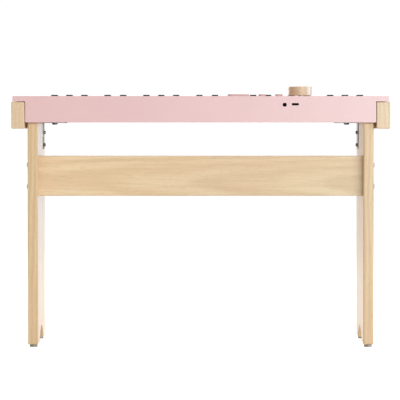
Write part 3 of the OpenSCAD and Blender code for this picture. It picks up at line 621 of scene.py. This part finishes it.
def add_mesh(bm, other):
    mesh = bpy.data.meshes.new("added")
    other.to_mesh(mesh)
    other.free()
    bm.from_mesh(mesh)
    bpy.data.meshes.remove(mesh)


low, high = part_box("side_rails")
for name, left in (("rail_treble", high.x - RAIL_WIDE), ("rail_bass", low.x)):
    bm = board(Vector((left, low.y, low.z)), Vector((left + RAIL_WIDE, high.y, high.z)), RAIL_ROUND)
    finish_piece(bm, name, [maple_rails], "cabinet", "maple", "side_rails")
bm = bmesh.new()
for left in (high.x - RAIL_WIDE - TONGUE_WIDE, low.x + RAIL_WIDE):
    front = Vector((left, leg_low.y + TONGUE_SETBACK, low.z))
    back = Vector((left + TONGUE_WIDE, leg_high.y - TONGUE_SETBACK, leg_high.z - TONGUE_CLEAR))
    add_mesh(bm, board(front, back, TONGUE_ROUND, 2))
finish_piece(bm, "rail_tongues", [maple_rails], "cabinet", "maple", "side_rails")
print("rail length:", round(high.y - low.y, 3))

# %% [markdown]
# ## Case
# The case is one moulding with a control panel, a back wall with two socket holes, and end caps that lie
# over the rails. To model all that again would only repeat the solid, so a copy keeps every hole of it.
# Long edges get a round of about a millimetre, and the short ones that make up the round holes stay
# crisp. The flat cover under the case is done in the same way, with a smaller round.

# %% Case and base cover
CASE_ROUND = 0.0009
COVER_ROUND = 0.0005
HOLE_FACET = 0.004

bm = cad_copy("top_case")
eased = ease(bm, CASE_ROUND, longer_than=HOLE_FACET)
finish_piece(bm, "case_shell", [pink_plastic], "cabinet", "pink_plastic", "top_case")
bm = cad_copy("bottom_cover")
ease(bm, COVER_ROUND, segments=2, longer_than=HOLE_FACET)
finish_piece(bm, "base_cover", [pink_cover], "cabinet", "pink_plastic", "bottom_cover")
print("case edges eased:", eased)

# %% [markdown]
# ## Keys
# White keys are gloss mouldings with rounded tops and fronts, black keys are satin with the same small
# round. The solids already have the cut-outs, slopes and lips of real keys, so each copy only needs its
# edges eased. Every key rides on its own body, because each one moves alone.

# %% Keys
KEY_ROUND = 0.0007
KEY_FACET = 0.0025

keys = sorted(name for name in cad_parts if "_key_" in name)
for name in keys:
    bm = cad_copy(name)
    white = name.startswith("white")
    ease(bm, KEY_ROUND, longer_than=KEY_FACET)
    finish_piece(bm, name + "_dressed", [ivory_white if white else satin_black], name,
                 "white_key_plastic" if white else "black_key_plastic", name)
print("keys:", len(keys))

# %% [markdown]
# ## Volume knob
# The knob was turned on a lathe: a plain cylinder with a soft upper edge and a shallow dish for the
# finger. A spun profile would do it too, but a cone with equal ends, bevelled rims and three insets in
# its top take fewer lines: the last two insets are pushed down and make the dish.

# %% Volume knob
KNOB_GAP = 0.001
KNOB_TOP_ROUND = 0.0009
KNOB_FOOT_ROUND = 0.0008
DISH_STEPS = ((0.002, 0.0), (0.004, 0.0004), (0.006, 0.0004))


def cylinder(bm, centre, radius, height, segments):
    made = bmesh.ops.create_cone(bm, cap_ends=True, segments=segments, radius1=radius, radius2=radius,
                                 depth=height)["verts"]
    bmesh.ops.translate(bm, vec=centre, verts=made)


knob_foot, knob_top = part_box("volume_knob")
knob_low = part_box("top_case")[1].z + KNOB_GAP
knob_place = (knob_foot + knob_top) / 2
knob_place.z = (knob_low + knob_top.z) / 2
knob_radius = (knob_top.x - knob_foot.x) / 2
bm = bmesh.new()
cylinder(bm, knob_place, knob_radius, knob_top.z - knob_low, segments=96)
rims = [e for e in bm.edges if e.calc_face_angle() > SHARP]
upper = [e for e in rims if e.verts[0].co.z > knob_place.z]
lower = [e for e in rims if e not in upper]
for rim, round_over, segments in ((upper, KNOB_TOP_ROUND, 5), (lower, KNOB_FOOT_ROUND, 3)):
    bmesh.ops.bevel(bm, geom=rim, offset=round_over, offset_type="OFFSET", segments=segments, profile=0.5,
                    affect="EDGES", material=-1)
top = max(bm.faces, key=lambda f: (f.calc_center_median().z, f.calc_area()))
for inward, down in DISH_STEPS:
    bmesh.ops.inset_region(bm, faces=[top], thickness=inward, depth=0)
    bmesh.ops.translate(bm, vec=(0, 0, -down), verts=top.verts)
wooden_knob = finish_piece(bm, "wooden_knob", [maple_knob], "volume_knob", "turned_wood", "volume_knob")
shine_on(wooden_knob, "gloss_strip_bass", "gloss_strip_treble")
print("knob radius:", round(knob_radius, 4))

# %% [markdown]
# A small dark dot near the rim marks where the knob points. It could be a spot of colour in the wood's
# material, but as a thin disc of its own it keeps a crisp edge. Below the knob a steel spindle goes down
# to the control.

# %% Knob dot and spindle
DOT_RADIUS = 0.0016
DOT_HIGH = 0.0008
DOT_OUT = 0.0155
DOT_SUNK = 0.0002
DOT_ROUND = 0.0003
SPINDLE_RADIUS = 0.003
SPINDLE_IN_KNOB = 0.009
SPINDLE_ROUND = 0.0004

dot_place = (knob_place.x, knob_place.y - DOT_OUT, knob_top.z - DOT_SUNK)
bm = bmesh.new()
cylinder(bm, dot_place, DOT_RADIUS, DOT_HIGH, segments=24)
ease(bm, DOT_ROUND, segments=2)
finish_piece(bm, "knob_dot", [satin_black], "volume_knob", "turned_wood")

spindle_top = knob_low + SPINDLE_IN_KNOB
spindle_high = spindle_top - knob_foot.z
spindle_place = (knob_place.x, knob_place.y, (spindle_top + knob_foot.z) / 2)
bm = bmesh.new()
cylinder(bm, spindle_place, SPINDLE_RADIUS, spindle_high, segments=32)
ease(bm, SPINDLE_ROUND, segments=2)
finish_piece(bm, "spindle", [zinc_steel], "volume_knob", "steel", "volume_knob")
print("spindle height:", round(spindle_high, 4))

# %% [markdown]
# ## Buttons
# The buttons are moulded in the colour of the case, a little duller. Their rounded rim is all that the
# photograph shows of them above the panel, so copies of their solids with eased edges are enough.

# %% Buttons
BUTTON_ROUND = 0.0006

for name in ("bar_button", "round_button_1", "round_button_2"):
    bm = cad_copy(name)
    ease(bm, BUTTON_ROUND)
    button = finish_piece(bm, name + "_dressed", [pink_button], name, "pink_plastic", name)
    print(button.name, len(button.data.polygons))

# %% [markdown]
# ## Brackets and foot pads
# A bracket is a stamped steel angle, with its edges broken by the press, and a copy of the solid keeps
# its bend and its holes. Each foot pad is a short rubber disc under an end of a leg, a cylinder like the
# knob. The four pads are one mesh, because they never move.

# %% Brackets and pads
BRACKET_ROUND = 0.0004
BRACKET_FACET = 0.002
PAD_RADIUS = 0.007
PAD_ROUND = 0.0007

bm = cad_copy("leg_brackets")
ease(bm, BRACKET_ROUND, segments=2, longer_than=BRACKET_FACET)
brackets = finish_piece(bm, "brackets", [dark_steel], "cabinet", "dark_steel", "leg_brackets")

low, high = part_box("foot_pads")
bm = bmesh.new()
for x in (low.x + PAD_RADIUS, high.x - PAD_RADIUS):
    for y in (low.y + PAD_RADIUS, high.y - PAD_RADIUS):
        cylinder(bm, (x, y, (low.z + high.z) / 2), PAD_RADIUS, high.z - low.z, segments=48)
ease(bm, PAD_ROUND)
pads = finish_piece(bm, "pads", [pad_rubber], "cabinet", "dark_rubber", "foot_pads")
shine_on(pads, "gloss_strip_floor")
print("bracket faces:", len(brackets.data.polygons), "pad faces:", len(pads.data.polygons))

# %% [markdown]
# ## Parts of a screw
# A screw's head is a ring of edges that is extruded up to its rounded crown, level by level. Its drive is
# a hexagon in the stretcher bolts and a cross in all the others: a grid of three by three cells that
# loses its corners. Both start flat, so that the crown can be bridged to their outline. A flush head has
# no crown.

# %% Parts of a screw
HEAD_LEVELS = ((0.5, 0.45), (0.44, 0.72), (0.34, 0.92), (0.24, 1.0))
CORNER_SHARE = 0.75


def grow_ring(piece, loop, radius, height):
    grown = bmesh.ops.extrude_edge_only(piece, edges=loop)["geom"]
    verts = [v for v in grown if isinstance(v, bmesh.types.BMVert)]
    now = verts[0].co.to_2d().length
    bmesh.ops.scale(piece, vec=(radius / now, radius / now, 1), verts=verts)
    bmesh.ops.translate(piece, vec=(0, 0, height - verts[0].co.z), verts=verts)
    return [e for e in grown if isinstance(e, bmesh.types.BMEdge)]


def drive_faces(piece, size, hexagon):
    if hexagon:
        verts = bmesh.ops.create_circle(piece, cap_ends=True, radius=size, segments=6)["verts"]
        return list({f for v in verts for f in v.link_faces})
    verts = bmesh.ops.create_grid(piece, x_segments=3, y_segments=3, size=size)["verts"]
    cells = {f for v in verts for f in v.link_faces}
    corners = [f for f in cells if f.calc_center_median().to_2d().length > CORNER_SHARE * size]
    bmesh.ops.delete(piece, geom=corners, context="FACES")
    return [f for f in cells if f.is_valid]


print("levels of a head:", len(HEAD_LEVELS))

# %% [markdown]
# ## Screw maker
# The pieces come together at the origin: the crown is bridged to the drive, the drive is pushed in with a
# slight taper, and the ring under the head grows down into a plain shaft. A matrix then sets the screw in
# its hole. A thread would never be seen, so there is none.

# %% Screw maker
DRIVE_SHARE = 0.2
DRIVE_DEEP = 0.55
DRIVE_TAPER = 0.85
SMALL, SMALL_HEAD = (0.003, 0.010), (0.0056, 0.0018)


def screw(bm, place, points, shaft, head, hexagon=False, flush=False):
    shaft_d, shaft_l = shaft
    head_d, head_h = head
    crown = 0.0 if flush else head_h
    levels = () if flush else HEAD_LEVELS
    piece = bmesh.new()
    bmesh.ops.create_circle(piece, cap_ends=False, radius=head_d / 2, segments=24)
    under = loop = list(piece.edges)
    for radius_share, height_share in levels:
        loop = grow_ring(piece, loop, radius_share * head_d, height_share * head_h)
    drive = DRIVE_SHARE * head_d
    sunk = drive_faces(piece, drive, hexagon)
    verts = list({v for f in sunk for v in f.verts})
    bmesh.ops.translate(piece, vec=(0, 0, crown), verts=verts)
    outline = [e for e in {e for f in sunk for e in f.edges} if e.is_boundary]
    bmesh.ops.bridge_loops(piece, edges=loop + outline)
    pushed = bmesh.ops.extrude_face_region(piece, geom=sunk)["geom"]
    bmesh.ops.delete(piece, geom=[f for f in sunk if f.is_valid], context="FACES_ONLY")
    verts = [v for v in pushed if isinstance(v, bmesh.types.BMVert)]
    bmesh.ops.translate(piece, vec=(0, 0, -DRIVE_DEEP * max(head_h, drive)), verts=verts)
    bmesh.ops.scale(piece, vec=(DRIVE_TAPER, DRIVE_TAPER, 1), verts=verts)
    loop = grow_ring(piece, under, shaft_d / 2, -head_h if flush else 0.0)
    loop = grow_ring(piece, loop, shaft_d / 2, -shaft_l)
    bmesh.ops.contextual_create(piece, geom=loop)
    bmesh.ops.recalc_face_normals(piece, faces=piece.faces)
    turn = Vector((0, 0, -1)).rotation_difference(Vector(points)).to_matrix().to_4x4()
    bmesh.ops.transform(piece, matrix=Matrix.Translation(place) @ turn, verts=piece.verts)
    faces = len(piece.faces)
    add_mesh(bm, piece)
    return faces


trial = bmesh.new()
print("faces of a small screw:", screw(trial, (0, 0, 0), (0, 0, 1), SMALL, SMALL_HEAD))
trial.free()

# %% [markdown]
# ## Screws of the stand
# Every screw of the solid model gets its dressed twin in the same hole. Two bolts go through each leg
# into the stretcher. Two pan heads hold each bracket to its leg, and a larger one holds it to the case.
# Their shafts and heads are pairs of a diameter and a length.

# %% Screws of the stand
BOLT, BOLT_HEAD = (0.006, 0.050), (0.010, 0.003)
BOLT_RISE = 0.019
PLATE_SCREW, PLATE_HEAD = (0.0035, 0.016), (0.0066, 0.0026)
PLATE_DROPS = (0.019, 0.0415)
FLANGE_SCREW, FLANGE_HEAD = (0.005, 0.0054), (0.0105, 0.0033)
FLANGE_REACH = 0.0208
BRACKET_THICK = 0.0015

case_floor, case_top = (corner.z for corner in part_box("top_case"))
cross_mid = (cross_low + cross_high) / 2
bracket_mid = sum(corner.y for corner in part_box("leg_brackets")) / 2
plank_inside = leg_high.x - LEG_THICK
bolts, pan_heads = bmesh.new(), bmesh.new()
for side in (-1, 1):
    for up in (-BOLT_RISE, BOLT_RISE):
        place = (side * leg_high.x, cross_mid.y, cross_mid.z + up)
        screw(bolts, place, (-side, 0, 0), BOLT, BOLT_HEAD, hexagon=True)
    for down in PLATE_DROPS:
        place = (side * (plank_inside - BRACKET_THICK), bracket_mid, case_floor - down)
        screw(pan_heads, place, (side, 0, 0), PLATE_SCREW, PLATE_HEAD)
    place = (side * (plank_inside - FLANGE_REACH), bracket_mid, case_floor - BRACKET_THICK)
    screw(pan_heads, place, (0, 0, 1), FLANGE_SCREW, FLANGE_HEAD)
for bm, name, metal in ((bolts, "stretcher_bolts", zinc_steel), (pan_heads, "bracket_screws", blued_steel)):
    made = finish_piece(bm, name, [metal], "cabinet", "steel", "screws")
    print(name, len(made.data.polygons))

# %% [markdown]
# ## Screws of the case
# Small screws hold the rest. Flush ones close the cover, in a row along the back and in pairs along the
# key frame. Inside, flush ones hold the rails from within the case, pan heads the rims of both speakers,
# and four more the main board.

# %% Screws of the case
SPEAKER_SCREW = (0.003, 0.006)
RAIL_SCREW_X, RAIL_SCREW_RISE = 0.306, 0.0115
RAIL_SCREW_Y = (-0.095, 0, 0.095)
SPEAKER_X, SPEAKER_Y = 0.245, 0.096
SPEAKER_RIM, SPEAKER_RISE = 0.021, 0.007
COVER_ROW_X, COVER_ROW_Y = (-0.285, 0, 0.1425, 0.285), 0.112
FRAME_SCREW_X, FRAME_SCREW_Y = (-0.24456, 0, 0.24456), (-0.1, 0.058)
BOARD_SCREW_X, BOARD_SCREW_Y = (-0.1947, -0.0379), (0.078, 0.115)
BOARD_SCREW_DROP = 0.0196

flush_heads, inner_screws = bmesh.new(), bmesh.new()
for side in (-1, 1):
    for y in RAIL_SCREW_Y:
        place = (side * RAIL_SCREW_X, y, case_floor + RAIL_SCREW_RISE)
        screw(inner_screws, place, (side, 0, 0), SMALL, SMALL_HEAD, flush=True)
    for turn in (45, 135, 225, 315):
        x = side * SPEAKER_X + SPEAKER_RIM * math.cos(math.radians(turn))
        y = SPEAKER_Y + SPEAKER_RIM * math.sin(math.radians(turn))
        screw(inner_screws, (x, y, case_floor + SPEAKER_RISE), (0, 0, -1), SPEAKER_SCREW, SMALL_HEAD)
cover_places = [(x, COVER_ROW_Y) for x in COVER_ROW_X]
cover_places += [(x, y) for x in FRAME_SCREW_X for y in FRAME_SCREW_Y]
for x, y in cover_places:
    screw(flush_heads, (x, y, case_floor), (0, 0, 1), SMALL, SMALL_HEAD, flush=True)
for x in BOARD_SCREW_X:
    for y in BOARD_SCREW_Y:
        screw(inner_screws, (x, y, case_top - BOARD_SCREW_DROP), (0, 0, 1), SMALL, SMALL_HEAD)
for bm, name in ((flush_heads, "cover_screws"), (inner_screws, "inner_screws")):
    made = finish_piece(bm, name, [zinc_steel], "cabinet", "steel", "screws")
    print(name, len(made.data.polygons))

# %% [markdown]
# ## Sockets and boards
# Behind the two holes of the back wall sit a black headphone socket and a black power socket, soldered to
# a green board with a tinned volume control and the switches. They are one copy of their node, because
# only a glimpse of them shows. Each separate solid in it is found as an island of faces, and gets the
# material of what it is.

# %% Sockets and boards
BOARD, BLACK, TIN = 0, 1, 2
BOARD_LONG = 0.05
CONTROL_NEAR = 0.004


def islands(bm):
    left = set(bm.faces)
    while left:
        group, stack = set(), [left.pop()]
        while stack:
            face = stack.pop()
            group.add(face)
            near = {other for edge in face.edges for other in edge.link_faces} & left
            left -= near
            stack.extend(near)
        yield group


bm = cad_copy("circuit_boards")
groups = list(islands(bm))
for group in groups:
    across = [v.co.x for f in group for v in f.verts]
    if max(across) - min(across) > BOARD_LONG:
        kind = BOARD
    elif abs(sum(across) / len(across) - knob_place.x) < CONTROL_NEAR:
        kind = TIN
    else:
        kind = BLACK
    for face in group:
        face.material_index = kind
finish_piece(bm, "electronics", [board_green, socket_black, tin_plate], "cabinet", "board_laminate",
             "circuit_boards")
print("solids on the boards:", len(groups))

# %% [markdown]
# ## Rubber domes
# Under each key a rubber dome closes a contact on the board and pushes the key up again. They stand on
# one strip. The places come from the solid, which saves a second list of them: the highest points of the
# strip lie on the domes' caps, a few millimetres apart within a cap.

# %% Dome strip and places
STRIP_THICK = 0.001
STRIP_ROUND = 0.0003
DOME_RADIUS = 0.0045
CAP_RADIUS = 0.0027
CAP_LEVEL = 1e-5

low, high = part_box("rubber_domes")
dome_y = (low.y + high.y) / 2
dome_foot = low.z + STRIP_THICK
dome_high = high.z - dome_foot
strip = board(low, Vector((high.x, high.y, dome_foot)), STRIP_ROUND, 2)
finish_piece(strip, "dome_strip", [dome_rubber], "cabinet", "dome_rubber", "rubber_domes")
caps = []
dome_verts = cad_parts["rubber_domes"].data.vertices
for x in sorted(v.co.x for v in dome_verts if v.co.z > high.z - CAP_LEVEL):
    if caps and x - caps[-1][-1] < CAP_RADIUS:
        caps[-1].append(x)
    else:
        caps.append([x])
print("domes:", len(caps), "height:", round(dome_high, 4))

# %% [markdown]
# Each dome is a piece of its own, because it has to give way to its own key. A profile of a few points is
# spun round the dome's axis: a sloping skirt, a straight cap and a small hollow on top. The profile is
# given in shares of the dome's and the cap's size.

# %% Dome shape
def dome(x):
    bm = bmesh.new()
    profile = ((DOME_RADIUS, -0.5 * STRIP_THICK), (DOME_RADIUS, 0.06 * dome_high),
               (1.1 * CAP_RADIUS, 0.55 * dome_high), (CAP_RADIUS, 0.65 * dome_high),
               (CAP_RADIUS, 0.96 * dome_high), (0.9 * CAP_RADIUS, dome_high),
               (0.4 * CAP_RADIUS, dome_high), (0.0, 0.96 * dome_high))
    points = [bm.verts.new((x + radius, dome_y, dome_foot + up)) for radius, up in profile]
    lines = [bm.edges.new(pair) for pair in zip(points, points[1:])]
    bmesh.ops.spin(bm, geom=points + lines, cent=(x, dome_y, 0), axis=(0, 0, 1), angle=2 * math.pi,
                   steps=24, use_merge=True)
    bmesh.ops.remove_doubles(bm, verts=bm.verts, dist=MERGE)
    bmesh.ops.contextual_create(bm, geom=[e for e in bm.edges if e.is_boundary])
    bmesh.ops.recalc_face_normals(bm, faces=bm.faces)
    return bm


trial = dome(0)
print("faces of a dome:", len(trial.faces))
trial.free()

# %% [markdown]
# A pressed key flattens its dome as far as the key comes down there. Each dome here is named after the
# key above it: a black key whose middle lies over the cap, or else the white key that spans it.

# %% Rubber domes
KEY_MIDDLE = 0.001
key_boxes = {name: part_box(name) for name in keys}


def key_over(x):
    for name, (key_low, key_high) in key_boxes.items():
        if name.startswith("black") and abs((key_low.x + key_high.x) / 2 - x) < KEY_MIDDLE:
            return name
    return next(name for name, (key_low, key_high) in key_boxes.items()
                if name.startswith("white") and key_low.x < x < key_high.x)


for cap in caps:
    x = (cap[0] + cap[-1]) / 2
    name = key_over(x)
    soft = finish_piece(dome(x), "dome_under_" + name, [dome_rubber], "cabinet", "dome_rubber",
                        "rubber_domes")
    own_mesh(soft)

# %% [markdown]
# ## Parts that stay as they are
# The key frame and the speakers work inside the case, where only a slot or a gap shows them. Eased edges
# would be lost there, so their solids stay and take the finish of their material.

# %% Inner parts
for name, material in (("key_frame", grey_frame), ("speakers", speaker_black)):
    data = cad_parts[name].data
    data.materials.clear()
    data.materials.append(material)
    print(name, material.name)

# %% [markdown]
# The dressed piano should fill the box of its solids, and only the dot on the knob stands a little above
# it. Its box is taken here over every shown piece but the floor.

# %% Sizes
low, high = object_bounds()
